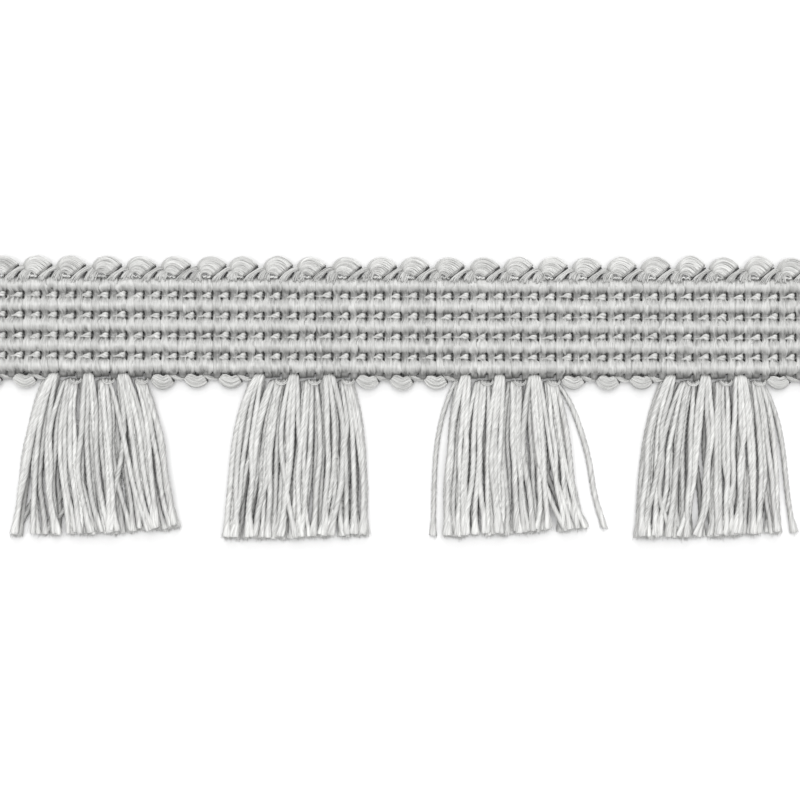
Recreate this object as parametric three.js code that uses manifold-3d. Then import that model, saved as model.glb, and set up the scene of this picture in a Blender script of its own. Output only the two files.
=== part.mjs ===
// Bell fringe: a ribbed woven heading with looped edges, and four bells of cut yarn on its lower edge.
// Millimetres. The fringe lies face up on its back: +X runs along the heading, +Y points to the plain
// looped edge, and +Z points up off the surface. The origin is on the surface, under the middle.
import * as THREE from 'three';
import { mergeVertices } from 'three/addons/utils/BufferGeometryUtils.js';
import Module from 'manifold-3d';

const wasm = await Module();
wasm.setup();

// Weave of the heading
const CELL = 2.3; // one column of the weave, a slot and the wrap beside it
const CELLS = 51;
const LENGTH = CELL * CELLS;
const RIBS = 5;
const RIB_PITCH = 2.71;
const LOWEST_RIB_Y = 4.09;
const RIB_HALF_WIDTH = 0.95;
const EDGE_MARGIN = 1.2; // from an outer rib's centre line to the heading's edge
const SLOT_Z = 0.85; // floor of the dips between the ribs
const BRIDGE_Z = 1.35; // top of the yarn that crosses those dips
const CREST_Z = 2.2;
const WRAP_RISE = 0.12; // how far a wrap stands above the rib that it crosses
const BOW = 0.4; // the heading curves up this much towards its left end

// Looped edges
const LOOP_PITCH = 2 * CELL;
const EDGE_GAP = 0.3; // between the heading and the pieces along its edges
const TOP_CORD = { radius: 0.76, swingY: 0.56, swingZ: 0.44, firstLoopX: -53.97 };
const LOW_CORD = { radius: 0.56, swingY: 0.4, swingZ: 0.4, firstLoopX: -55.17 };
const CORD_SIDES = 6;
const STEPS_PER_LOOP = 6;
const FLOOR_CLEARANCE = 0.03;

// Bells of cut yarn
const BELL_LOOPS = 3; // loops of the lower edge that one bell takes the place of
const BELL_ROOT = BELL_LOOPS * LOOP_PITCH - 2 * EDGE_GAP;
const ROOT_DEPTH_Y = 1.15;
const ROOT_Z = 2.25;
const ROOT_PINCH = 0.25; // the root is lower between its bundles
const STRAND_STATIONS = [0, 0.09, 0.22, 0.5, 1]; // shares of a strand's length where it may turn
const STRAND_ROOT = { width: 0.54, thick: 0.6 };
const STRAND_TIP = { width: 0.9, thick: 0.78 };
const SPREAD_POWER = 3.4; // higher: the strands fan out closer to the root
const FLARE_POWER = 3;
const LOOP_CLEARANCE = 0.25; // how far a strand may spread while it passes the looped edge
const RAGGED = 0.45;
// The layers of one bell, from the surface up. rootZ and tipZ: the underside of a layer's strands.
const LAYERS = [
  { strands: 17, rootZ: 0.08, tipZ: 0, spread: 1 },
  { strands: 16, rootZ: 0.8, tipZ: 0.87, spread: 0.97 },
  { strands: 17, rootZ: 1.52, tipZ: 1.74, spread: 0.94 },
];
// loop: which loop of the lower edge the bell is centred on. belly: how far that side swells from
// the centre. reach and tip: where its cut ends lie, across and down. strays: strands by themselves.
const BELLS = [
  {
    loop: 3,
    left: { belly: 10.2, reach: 11.5, tip: -18.75 },
    right: { belly: 9.5, reach: 11.3, tip: -17.5 },
    strays: [],
  },
  {
    loop: 9,
    left: { belly: 10.1, reach: 10.5, tip: -18.95 },
    right: { belly: 8.9, reach: 9.2, tip: -18.35 },
    strays: [],
  },
  {
    loop: 15,
    left: { belly: 8.7, reach: 8.8, tip: -18.7 },
    right: { belly: 9, reach: 10.6, tip: -17.4 },
    strays: [
      { side: -1, belly: 9.9, reach: 10.5, tip: -18.3 },
      { side: 1, belly: 10.4, reach: 13.5, tip: -17.2 },
    ],
  },
  {
    loop: 21,
    left: { belly: 10.3, reach: 10.5, tip: -18.75 },
    right: { belly: 9, reach: 9, tip: -18 },
    strays: [{ side: 1, belly: 9.7, reach: 11, tip: -17.8 }],
  },
];

const YARN_COLOURS = { heading: 0xcdccca, loops: 0xc9c9c4, bells: 0xd2d2cf };

// A repeatable uneven number from 0 to 1 for each seed
function vary(seed) {
  const wave = Math.sin(seed * 12.9898) * 43758.5453;
  return wave - Math.floor(wave);
}

function bow(x) {
  const fromRight = (LENGTH / 2 - x) / LENGTH;
  return BOW * fromRight * fromRight;
}

// Curves a piece along with the heading
function bowed(geometry) {
  const position = geometry.attributes.position;
  for (let i = 0; i < position.count; i++) {
    position.setY(i, position.getY(i) + bow(position.getX(i)));
  }
  return geometry;
}

function welded(geometry) {
  geometry.deleteAttribute('normal');
  geometry.deleteAttribute('uv');
  return mergeVertices(geometry, 1e-5);
}

function ribY(rib) {
  return LOWEST_RIB_Y + rib * RIB_PITCH;
}

// Height of the heading's face: round ribs, with a slot and a wrap in turn along each of them
function faceHeight(x, y) {
  const rib = THREE.MathUtils.clamp(Math.round((y - LOWEST_RIB_Y) / RIB_PITCH), 0, RIBS - 1);
  const offCentre = Math.abs(y - ribY(rib)) / RIB_HALF_WIDTH;
  const roundness = Math.sqrt(Math.max(0, 1 - offCentre * offCentre));
  const onWrap = Math.round((x + LENGTH / 2) / (CELL / 2)) % 2 === 1;
  const dip = onWrap ? BRIDGE_Z : SLOT_Z;
  const crest = onWrap ? CREST_Z + WRAP_RISE : CREST_Z;
  return dip + (crest - dip) * roundness;
}

function heading() {
  const lowEdge = ribY(0) - EDGE_MARGIN;
  const highEdge = ribY(RIBS - 1) + EDGE_MARGIN;
  const stations = [lowEdge];
  for (let rib = 0; rib < RIBS; rib++) {
    for (const share of [-0.86, -0.32, 0.32, 0.86]) {
      stations.push(ribY(rib) + share * RIB_HALF_WIDTH);
    }
    stations.push(rib < RIBS - 1 ? ribY(rib) + RIB_PITCH / 2 : highEdge);
  }
  const face = stations.map((y) => new THREE.Vector2(y, CREST_Z));
  const outline = [new THREE.Vector2(highEdge, 0), ...face.reverse(), new THREE.Vector2(lowEdge, 0)];
  const geometry = new THREE.ExtrudeGeometry(new THREE.Shape(outline), {
    depth: LENGTH,
    steps: 2 * CELLS,
    bevelEnabled: false,
  });
  const position = geometry.attributes.position;
  for (let i = 0; i < position.count; i++) {
    const x = position.getZ(i) - LENGTH / 2;
    const y = position.getX(i);
    const z = position.getY(i) > 0 ? faceHeight(x, y) : 0;
    position.setXYZ(i, x, y, z);
  }
  return bowed(welded(geometry));
}

// The middle line of a cord that winds along an edge, one loop a turn. outward is 1 where the loops
// stand up from the heading and -1 where they hang below it.
class LoopLine extends THREE.Curve {
  constructor(cord, startX, endX, axisY, outward) {
    super();
    Object.assign(this, { cord, startX, endX, axisY, outward });
  }

  getPoint(t, target = new THREE.Vector3()) {
    const { swingY, swingZ, radius, firstLoopX } = this.cord;
    const x = THREE.MathUtils.lerp(this.startX, this.endX, t);
    const angle = (2 * Math.PI * (x - firstLoopX)) / LOOP_PITCH;
    return target.set(
      x,
      this.axisY + this.outward * swingY * Math.cos(angle),
      FLOOR_CLEARANCE + radius + swingZ - swingZ * Math.sin(angle),
    );
  }
}

function loopedCord(cord, startX, endX, axisY, outward) {
  const corners = [];
  for (let side = 0; side < CORD_SIDES; side++) {
    const angle = (2 * Math.PI * side) / CORD_SIDES;
    corners.push(new THREE.Vector2(cord.radius * Math.cos(angle), cord.radius * Math.sin(angle)));
  }
  const geometry = new THREE.ExtrudeGeometry(new THREE.Shape(corners), {
    steps: Math.round((STEPS_PER_LOOP * (endX - startX)) / LOOP_PITCH),
    bevelEnabled: false,
    extrudePath: new LoopLine(cord, startX, endX, axisY, outward),
  });
  return bowed(welded(geometry));
}

function topLoops() {
  const edge = ribY(RIBS - 1) + EDGE_MARGIN;
  const axisY = edge + EDGE_GAP + TOP_CORD.radius + TOP_CORD.swingY;
  return loopedCord(TOP_CORD, -LENGTH / 2 + EDGE_GAP, LENGTH / 2 - EDGE_GAP, axisY, 1);
}

function lowLoops(startX, endX) {
  const edge = ribY(0) - EDGE_MARGIN;
  const axisY = edge - EDGE_GAP - LOW_CORD.radius - LOW_CORD.swingY;
  return loopedCord(LOW_CORD, startX + EDGE_GAP, endX - EDGE_GAP, axisY, -1);
}

// How far from the bell's centre a strand lies, at a share of its length
function strandX(line, along) {
  const swell = (line.belly - line.root.x) * (1 - (1 - along) ** SPREAD_POWER);
  const flare = (line.tip.x - line.belly) * along ** FLARE_POWER;
  const spread = swell + flare;
  if (along <= STRAND_STATIONS[1]) {
    return line.root.x + THREE.MathUtils.clamp(spread, -LOOP_CLEARANCE, LOOP_CLEARANCE);
  }
  return line.root.x + spread;
}

// One strand: a slim box whose points follow a line that fans out from the root and then straightens
function strand(line) {
  const steps = STRAND_STATIONS.length - 1;
  const box = new THREE.BoxGeometry(1, 1, 1, 1, steps, 1);
  const position = box.attributes.position;
  for (let i = 0; i < position.count; i++) {
    const along = STRAND_STATIONS[Math.round((0.5 - position.getY(i)) * steps)];
    const width = THREE.MathUtils.lerp(STRAND_ROOT.width, STRAND_TIP.width, along);
    const thick = THREE.MathUtils.lerp(STRAND_ROOT.thick, STRAND_TIP.thick, along);
    const bottomZ = THREE.MathUtils.lerp(line.root.z, line.tip.z, along);
    position.setXYZ(
      i,
      strandX(line, along) + position.getX(i) * width,
      THREE.MathUtils.lerp(line.root.y, line.tip.y, along),
      bottomZ + (position.getZ(i) + 0.5) * thick,
    );
  }
  return box;
}

// The root of a bell: the six bundles of yarn that come out of the weave side by side
function bellRoot(topY) {
  const columns = 2 * 2 * BELL_LOOPS;
  const box = new THREE.BoxGeometry(BELL_ROOT, ROOT_DEPTH_Y, ROOT_Z, columns, 1, 1);
  box.translate(0, topY - ROOT_DEPTH_Y / 2, ROOT_Z / 2);
  const position = box.attributes.position;
  for (let i = 0; i < position.count; i++) {
    const column = Math.round(((position.getX(i) + BELL_ROOT / 2) / BELL_ROOT) * columns);
    if (position.getZ(i) > 0 && column % 2 === 0) {
      position.setZ(i, ROOT_Z - ROOT_PINCH);
    }
  }
  return box;
}

function solid(geometry) {
  const closed = welded(geometry);
  return new wasm.Manifold(new wasm.Mesh({
    numProp: 3,
    vertProperties: new Float32Array(closed.attributes.position.array),
    triVerts: new Uint32Array(closed.index.array),
  }));
}

function asGeometry(manifold) {
  const mesh = manifold.getMesh();
  const geometry = new THREE.BufferGeometry();
  geometry.setAttribute('position', new THREE.BufferAttribute(mesh.vertProperties, 3));
  geometry.setIndex(new THREE.BufferAttribute(mesh.triVerts, 1));
  return geometry;
}

// The lines of all strands in one bell, layer by layer
function strandLines(bell, topY, seed) {
  const lines = [];
  const rootY = topY - ROOT_DEPTH_Y / 3;
  const rootReach = (BELL_ROOT - STRAND_ROOT.width) / 2 - 0.06;
  for (const [layerNumber, layer] of LAYERS.entries()) {
    for (let i = 0; i < layer.strands; i++) {
      const across = (2 * (i + 0.5)) / layer.strands - 1;
      const side = across < 0 ? bell.left : bell.right;
      const ragged = RAGGED * vary(seed + 31 * layerNumber + 7 * i);
      const tipY = THREE.MathUtils.lerp(bell.left.tip, bell.right.tip, (across + 1) / 2) + ragged;
      const tipX = across * (side.reach - STRAND_TIP.width / 2) * layer.spread;
      lines.push({
        root: new THREE.Vector3(across * rootReach, rootY, layer.rootZ),
        belly: across * (side.belly - STRAND_TIP.width / 2) * layer.spread,
        tip: new THREE.Vector3(tipX, tipY, layer.tipZ),
      });
    }
  }
  for (const stray of bell.strays) {
    lines.push({
      root: new THREE.Vector3(stray.side * rootReach, rootY, LAYERS[1].rootZ),
      belly: stray.side * stray.belly,
      tip: new THREE.Vector3(stray.side * stray.reach, stray.tip, 0),
    });
  }
  return lines;
}

function bellCentre(bell) {
  return LOW_CORD.firstLoopX + bell.loop * LOOP_PITCH;
}

function bellSolid(bell, seed) {
  const topY = ribY(0) - EDGE_MARGIN - EDGE_GAP;
  let whole = solid(bellRoot(topY));
  for (const line of strandLines(bell, topY, seed)) {
    whole = whole.add(solid(strand(line)));
  }
  return bowed(asGeometry(whole).translate(bellCentre(bell), 0, 0));
}

const fringe = new THREE.Group();

function place(name, geometry, colour) {
  const material = new THREE.MeshStandardMaterial({ color: colour, roughness: 0.75, metalness: 0 });
  const piece = new THREE.Mesh(geometry, material);
  piece.name = name;
  fringe.add(piece);
}

place('heading', heading(), YARN_COLOURS.heading);
place('loops_top', topLoops(), YARN_COLOURS.loops);

// The lower loops run in the stretches between the bells and past the outer two
const halfBell = (BELL_LOOPS * LOOP_PITCH) / 2;
const runStarts = [-LENGTH / 2, ...BELLS.map((bell) => bellCentre(bell) + halfBell)];
const runEnds = [...BELLS.map((bell) => bellCentre(bell) - halfBell), LENGTH / 2];
for (const [i, startX] of runStarts.entries()) {
  place(`loops_low_${i + 1}`, lowLoops(startX, runEnds[i]), YARN_COLOURS.loops);
}

for (const [i, bell] of BELLS.entries()) {
  place(`bell_${i + 1}`, bellSolid(bell, 100 * (i + 1)), YARN_COLOURS.bells);
}

const bounds = new THREE.Box3().setFromObject(fringe);
const middle = bounds.getCenter(new THREE.Vector3());
fringe.position.set(-middle.x, -middle.y, -bounds.min.z);

export default fringe;
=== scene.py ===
# %% [markdown]
# A length of bell fringe, yarn by yarn
#
# Bell fringe is a trimming: a narrow woven heading with a row of bells, bundles of cut yarn, along its
# lower edge. This lesson dresses a plain model of it with every yarn that shows. The plain model, the
# frame, gives each piece its place and size, and nothing here moves it.

import bpy
import numpy as np
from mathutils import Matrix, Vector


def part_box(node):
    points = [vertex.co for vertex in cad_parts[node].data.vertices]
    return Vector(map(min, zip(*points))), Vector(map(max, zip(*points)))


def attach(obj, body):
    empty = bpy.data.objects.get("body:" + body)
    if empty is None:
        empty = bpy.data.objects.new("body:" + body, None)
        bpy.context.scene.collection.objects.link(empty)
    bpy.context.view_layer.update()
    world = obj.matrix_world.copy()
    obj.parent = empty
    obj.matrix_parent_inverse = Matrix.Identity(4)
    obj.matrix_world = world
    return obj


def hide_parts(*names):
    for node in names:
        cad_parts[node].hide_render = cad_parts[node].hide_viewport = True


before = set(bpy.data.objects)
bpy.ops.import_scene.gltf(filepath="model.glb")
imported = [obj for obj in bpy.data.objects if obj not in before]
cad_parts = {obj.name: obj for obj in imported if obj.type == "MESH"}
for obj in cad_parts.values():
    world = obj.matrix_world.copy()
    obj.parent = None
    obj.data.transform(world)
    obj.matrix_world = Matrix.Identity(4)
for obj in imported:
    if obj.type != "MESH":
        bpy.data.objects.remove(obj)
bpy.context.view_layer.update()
MM = 0.001
body = "root"
print("nodes:", ", ".join(sorted(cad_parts)))

# %% [markdown]
# The sizes below are the real ones, in millimetres, and the same as in the plain model. Across the
# fringe, y is counted from the line where the loops of the lower edge end. The frame only says where
# that line lies in the model: the heading's lower corner is the one place that both of them know.

# %% The driving sizes
CELL = 2.3  # one column of the weave
CELLS = 51
LENGTH = CELL * CELLS
RIBS = 5
RIB_PITCH = 2.71
LOWEST_RIB_Y = 4.09
EDGE_MARGIN = 1.2  # from an outer rib's centre line to the edge of the heading
BOW = 0.4  # the heading curves up this much towards its left end
LOOP_PITCH = 2 * CELL
TOP_LOOP_X = -53.97
LOW_LOOP_X = -55.17
LOW_LOOPS = 25
TOP_LOOPS = 25
BELL_AT = [3, 9, 15, 21]  # the loops of the lower edge that the bells are centred on
SLOT_SHARE = 0.28  # where in a cell the small dark slot of the weave lies

low_edge = LOWEST_RIB_Y - EDGE_MARGIN
high_edge = LOWEST_RIB_Y + (RIBS - 1) * RIB_PITCH + EDGE_MARGIN
heading_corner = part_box("heading")[0]
shift_y = heading_corner[1] / MM - low_edge
print(f"heading {LENGTH:.1f} mm long, y {low_edge:.2f} to {high_edge:.2f} mm, frame shift {shift_y:.3f} mm")


def bow(x):
    """How far the heading's curve lifts a point at x."""
    from_right = (LENGTH / 2 - x) / LENGTH
    return BOW * from_right**2


def rib_y(rib):
    return LOWEST_RIB_Y + rib * RIB_PITCH


def bell_centre(loop):
    return LOW_LOOP_X + loop * LOOP_PITCH


# %% [markdown]
# The camera hangs straight above the fringe, as the photographer's did, with a long lens so that the
# bells don't lean outwards. One yarn of a bell is six or seven pixels wide in the picture, which sets
# the width that the camera takes in.

# %% Camera
PIXELS_PER_MM = 7.461
FRAME_PIXELS = 800
VIEW_X, VIEW_Y = -0.62, -0.335  # what the middle of the picture looks at
LENS, SENSOR = 110, 36

camera = bpy.data.objects.new("camera", bpy.data.cameras.new("camera"))
bpy.context.collection.objects.link(camera)
camera.data.lens = LENS
camera.data.sensor_width = SENSOR
view_width = FRAME_PIXELS / PIXELS_PER_MM
FACE_Z = 1.6  # the height at which that width is true
camera_height = view_width * LENS / SENSOR + FACE_Z
camera.location = (VIEW_X * MM, (VIEW_Y + shift_y) * MM, camera_height * MM)
camera.data.clip_start = 0.01
bpy.context.scene.camera = camera
print(f"the camera sees {view_width:.1f} mm from {camera_height:.0f} mm up")

# %% [markdown]
# Product light, as over a table in a studio: a wide soft lamp almost straight above, a weaker one beyond
# the upper edge, and a little white sky between them. The low lamp runs along the yarns and lays a soft
# shadow below the cut ends. The floor is made just bright enough to read as plain white paper, because a
# much brighter one would swallow that shadow.

# %% Floor and light
FLOOR_WHITE = 0.8
FLOOR_REACH = 1.2  # metres from the middle to an edge
SKY = 0.55
LAMPS = {  # strength, elevation and width, both in degrees
    "lamp_above": (2.25, 84, 55),
    "lamp_beyond": (0.95, 33, 35),
}

floor_mesh = bpy.data.meshes.new("floor")
corners = [(FLOOR_REACH * x, FLOOR_REACH * y, 0) for x, y in ((-1, -1), (1, -1), (1, 1), (-1, 1))]
floor_mesh.from_pydata(corners, [], [(0, 1, 2, 3)])
floor = bpy.data.objects.new("floor", floor_mesh)
bpy.context.collection.objects.link(floor)
floor_finish = bpy.data.materials.new("floor")
floor_finish.use_nodes = True
floor_shader = floor_finish.node_tree.nodes["Principled BSDF"]
floor_shader.inputs["Base Color"].default_value = (FLOOR_WHITE, FLOOR_WHITE, FLOOR_WHITE, 1)
floor_shader.inputs["Roughness"].default_value = 0.9
floor_shader.inputs["Specular IOR Level"].default_value = 0.1
floor_mesh.materials.append(floor_finish)

for name, (strength, elevation, width) in LAMPS.items():
    lamp = bpy.data.objects.new(name, bpy.data.lights.new(name, "SUN"))
    bpy.context.collection.objects.link(lamp)
    lamp.data.energy = strength
    lamp.data.angle = np.radians(width)
    lamp.location = (0, 0.3, 0.3)
    lamp.rotation_euler = (-np.radians(90 - elevation), 0, 0)

world = bpy.data.worlds.new("sky")
bpy.context.scene.world = world
world.use_nodes = True
world.node_tree.nodes["Background"].inputs["Color"].default_value = (1, 1, 1, 1)
world.node_tree.nodes["Background"].inputs["Strength"].default_value = SKY
bpy.context.scene.view_settings.view_transform = "Standard"
print(f"{len(LAMPS)} lamps, sky {SKY}")

# %% [markdown]
# Every yarn here is a bundle of fine fibres, so one effect serves all the finishes: streaks that run
# along the yarn. Each mesh carries a "fibre" vector at every point, two numbers that go round the yarn
# and one that runs along it, so that a noise read from it stretches along the yarn and has no seam.
# It also carries a "strand" number that differs from yarn to yarn, "tip", which grows towards a cut
# end, and "deep", painted shade that grows towards the inside of the weave or the bell, where shadow
# falls. The group mixes a shadow tone and a light tone from these, darkens the result by that painted
# shade, and gives the height of a bump.

# %% Node group for the fibres
FINE_DETAIL = 3.0  # finer layers in the noise of the streaks
STREAK_GAIN, STREAK_START = 1.9, -0.42  # stretch the middle of that noise over both tones
BROAD = {"scale": 0.6, "detail": 1.0, "weight": 0.5}  # slow changes of tone over a yarn


def add_socket(group, name, kind, value=None, output=False):
    socket = group.interface.new_socket(name, in_out="OUTPUT" if output else "INPUT", socket_type=kind)
    if value is not None:
        socket.default_value = value


def fibre_group():
    group = bpy.data.node_groups.new("Fibre streaks", "ShaderNodeTree")
    add_socket(group, "Shadow tone", "NodeSocketColor", (0.5, 0.5, 0.48, 1))
    add_socket(group, "Light tone", "NodeSocketColor", (0.7, 0.7, 0.68, 1))
    add_socket(group, "Streaks", "NodeSocketFloat", 3.0)
    add_socket(group, "Yarn difference", "NodeSocketFloat", 0.3)
    add_socket(group, "Tip lift", "NodeSocketFloat", 0.3)
    add_socket(group, "Depth shade", "NodeSocketFloat", 0.5)
    add_socket(group, "Color", "NodeSocketColor", output=True)
    add_socket(group, "Height", "NodeSocketFloat", output=True)
    nodes, links = group.nodes, group.links
    given, result = nodes.new("NodeGroupInput"), nodes.new("NodeGroupOutput")

    def attribute(name):
        node = nodes.new("ShaderNodeAttribute")
        node.attribute_name = name
        return node

    def math(operation, first, second):
        node = nodes.new("ShaderNodeMath")
        node.operation = operation
        for socket, value in zip(node.inputs, (first, second)):
            if isinstance(value, (int, float)):
                socket.default_value = value
            else:
                links.new(value, socket)
        return node.outputs[0]

    def noise(scale, detail):
        node = nodes.new("ShaderNodeTexNoise")
        links.new(attribute("fibre").outputs["Vector"], node.inputs["Vector"])
        node.inputs["Detail"].default_value = detail
        if isinstance(scale, (int, float)):
            node.inputs["Scale"].default_value = scale
        else:
            links.new(scale, node.inputs["Scale"])
        return node.outputs["Fac"]

    fine = noise(given.outputs["Streaks"], FINE_DETAIL)
    broad = noise(BROAD["scale"], BROAD["detail"])
    strand = attribute("strand").outputs["Fac"]
    tip = attribute("tip").outputs["Fac"]
    deep = attribute("deep").outputs["Fac"]
    streak = math("MULTIPLY_ADD", fine, STREAK_GAIN)
    streak.node.inputs[2].default_value = STREAK_START
    yarn_step = math("MULTIPLY", math("SUBTRACT", strand, 0.5), given.outputs["Yarn difference"])
    tone = math("ADD", streak, yarn_step)
    tone = math("ADD", tone, math("MULTIPLY", math("SUBTRACT", broad, 0.5), BROAD["weight"]))
    tone = math("ADD", tone, math("MULTIPLY", tip, given.outputs["Tip lift"]))
    mix = nodes.new("ShaderNodeMix")
    mix.data_type = "RGBA"
    mix.clamp_factor = True
    links.new(tone, mix.inputs["Factor"])
    links.new(given.outputs["Shadow tone"], mix.inputs["A"])
    links.new(given.outputs["Light tone"], mix.inputs["B"])
    # Painted shade: the colour is darkened where "deep" is high, standing in for shadow inside the weave
    shade = math("SUBTRACT", 1.0, math("MULTIPLY", deep, given.outputs["Depth shade"]))
    scale = nodes.new("ShaderNodeVectorMath")
    scale.operation = "SCALE"
    links.new(mix.outputs["Result"], scale.inputs["Vector"])
    links.new(shade, scale.inputs["Scale"])
    links.new(scale.outputs["Vector"], result.inputs["Color"])
    links.new(fine, result.inputs["Height"])
    return group


fibre_streaks = fibre_group()
print("group sockets:", [item.name for item in fibre_streaks.interface.items_tree])

# %% [markdown]
# The finishes differ in how even the yarn is and how much it shines. The heading is packed satin yarn,
# the loops are soft floss, and the bells are twisted yarn with a duller, woollier face. The ground cloth
# and the cords are painted dark, as painted shade, because what shows of them lies deep between other
# yarns. Each finish is one Principled shader around the same group, so that only the group's values
# differ. What never changes over a surface, such as sheen, is set on the shader itself.

# %% The yarn finishes
RELIEF = 0.06  # mm, the depth of the bump
SHEEN_ROUGHNESS = 0.4


def yarn_finish(name, shadow, light, values, roughness, sheen, bump, gloss=0.35):
    """values: what the fibre group's own number sockets are set to."""
    finish = bpy.data.materials.new(name)
    finish.use_nodes = True
    nodes, links = finish.node_tree.nodes, finish.node_tree.links
    shader = nodes["Principled BSDF"]
    shader.inputs["Roughness"].default_value = roughness
    shader.inputs["Sheen Weight"].default_value = sheen
    shader.inputs["Sheen Roughness"].default_value = SHEEN_ROUGHNESS
    shader.inputs["Specular IOR Level"].default_value = gloss
    fibres = nodes.new("ShaderNodeGroup")
    fibres.node_tree = fibre_streaks
    fibres.inputs["Shadow tone"].default_value = (*shadow, 1)
    fibres.inputs["Light tone"].default_value = (*light, 1)
    for socket, value in values.items():
        fibres.inputs[socket].default_value = value
    links.new(fibres.outputs["Color"], shader.inputs["Base Color"])
    relief = nodes.new("ShaderNodeBump")
    relief.inputs["Strength"].default_value = bump
    relief.inputs["Distance"].default_value = RELIEF * MM
    links.new(fibres.outputs["Height"], relief.inputs["Height"])
    links.new(relief.outputs["Normal"], shader.inputs["Normal"])
    return finish


heading_finish = yarn_finish(
    "heading_yarn",
    shadow=(0.31, 0.31, 0.302),
    light=(0.6, 0.6, 0.588),
    values={"Streaks": 2.6, "Yarn difference": 0.22, "Tip lift": 0.15, "Depth shade": 0.45},
    roughness=0.34,
    sheen=0.1,
    bump=0.7,
    gloss=0.6,
)
floss_finish = yarn_finish(
    "loop_yarn",
    shadow=(0.31, 0.31, 0.302),
    light=(0.8, 0.8, 0.785),
    values={"Streaks": 4.5, "Yarn difference": 0.45, "Tip lift": 0, "Depth shade": 0.75},
    roughness=0.42,
    sheen=0.1,
    bump=0.8,
)
bell_finish = yarn_finish(
    "bell_yarn",
    shadow=(0.34, 0.34, 0.332),
    light=(0.71, 0.71, 0.696),
    values={"Streaks": 2.4, "Yarn difference": 0.3, "Tip lift": 0.22, "Depth shade": 0.57},
    roughness=0.5,
    sheen=0.15,
    bump=0.8,
)
# Painted shade: the ground cloth and cords get a near-black colour, standing in for the shadow deep in the
# weave
ground_shade_finish = yarn_finish(
    "ground_yarn_painted_shade",
    shadow=(0.05, 0.05, 0.05),
    light=(0.22, 0.22, 0.21),
    values={"Streaks": 3.0, "Yarn difference": 0.3, "Tip lift": 0, "Depth shade": 0},
    roughness=0.7,
    sheen=0.1,
    bump=0.8,
)
print("finishes:", ", ".join(m.name for m in (heading_finish, floss_finish, bell_finish, ground_shade_finish)))

# %% [markdown]
# All yarns are swept: a ring of points is carried along a line. The helper below sweeps many lines at
# once. It builds each ring from the line's direction and a rough up, which is plenty for lines that
# never point straight up. Curve objects with a bevel could do the same, but rings made by hand may be
# flat, turn, and keep each point's place in the yarn, which the fibre noise needs.

# %% Sweeping a tube along a line
def unit(vectors):
    return vectors / np.maximum(np.linalg.norm(vectors, axis=-1, keepdims=True), 1e-9)


def sweep(lines, across, depth, sides, turn=0.0):
    """Tubes along lines, (yarns, points, 3) in mm. across and depth are half widths and turn an angle,
    numbers or (yarns, points). Gives each ring's points (yarns, points, sides, 3)."""
    ahead = unit(np.gradient(lines, axis=1))
    side = unit(np.cross(ahead, np.array([0.0, 0.0, 1.0])))
    top = np.cross(side, ahead)
    angle = 2 * np.pi * np.arange(sides) / sides
    across, depth, turn = (np.broadcast_to(v, lines.shape[:2])[..., None] for v in (across, depth, turn))
    u, v = across * np.cos(angle), depth * np.sin(angle)
    u, v = u * np.cos(turn) - v * np.sin(turn), u * np.sin(turn) + v * np.cos(turn)
    return lines[:, :, None] + side[:, :, None] * u[..., None] + top[:, :, None] * v[..., None]


trial_line = np.array([[[0.0, 0.0, 0.0], [1.0, 0.5, 0.0], [2.0, 0.5, 0.0]]])
trial_tube = sweep(trial_line, 0.5, 0.25, 8)
print("a trial tube has", trial_tube.shape[1], "rings of", trial_tube.shape[2], "points")

# %% [markdown]
# On a real yarn the fibres run lengthwise, whichever way the yarn bends. So the noise is read from the
# yarn's own coordinates: a circle for the way round, which closes on itself without a seam, and the
# length walked along the line. Each yarn starts at another place in the noise.

# %% The fibre vector
def along_mm(lines):
    """How far each point lies along its line."""
    steps = np.linalg.norm(np.diff(lines, axis=1), axis=2)
    return np.concatenate([np.zeros((len(lines), 1)), np.cumsum(steps, axis=1)], axis=1)


STRETCH = 0.16  # the fibre noise runs this much slower along a yarn than round it


def fibre_round(lines, sides, strand, girth):
    """The fibre vector for swept tubes: round the yarn in x and y, along it in z."""
    angle = 2 * np.pi * np.arange(sides) / sides
    shape = (*lines.shape[:2], sides)
    apart = strand[:, None, None]
    return np.stack(
        [
            np.broadcast_to(girth * np.cos(angle), shape) + 97 * apart,
            np.broadcast_to(girth * np.sin(angle), shape) + 53 * apart,
            np.broadcast_to((STRETCH * along_mm(lines))[..., None], shape),
        ],
        axis=-1,
    )


print(f"the trial line is {along_mm(trial_line)[0, -1]:.2f} mm long")

# %% [markdown]
# A bell alone has seventy yarns, so a mesh object for each one would be slow and hard to handle. All the
# yarns of a piece are gathered into one mesh instead. Both ends of each get a face, so that every yarn
# is a closed solid. The numbers that the finishes read go with them as point attributes.

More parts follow.
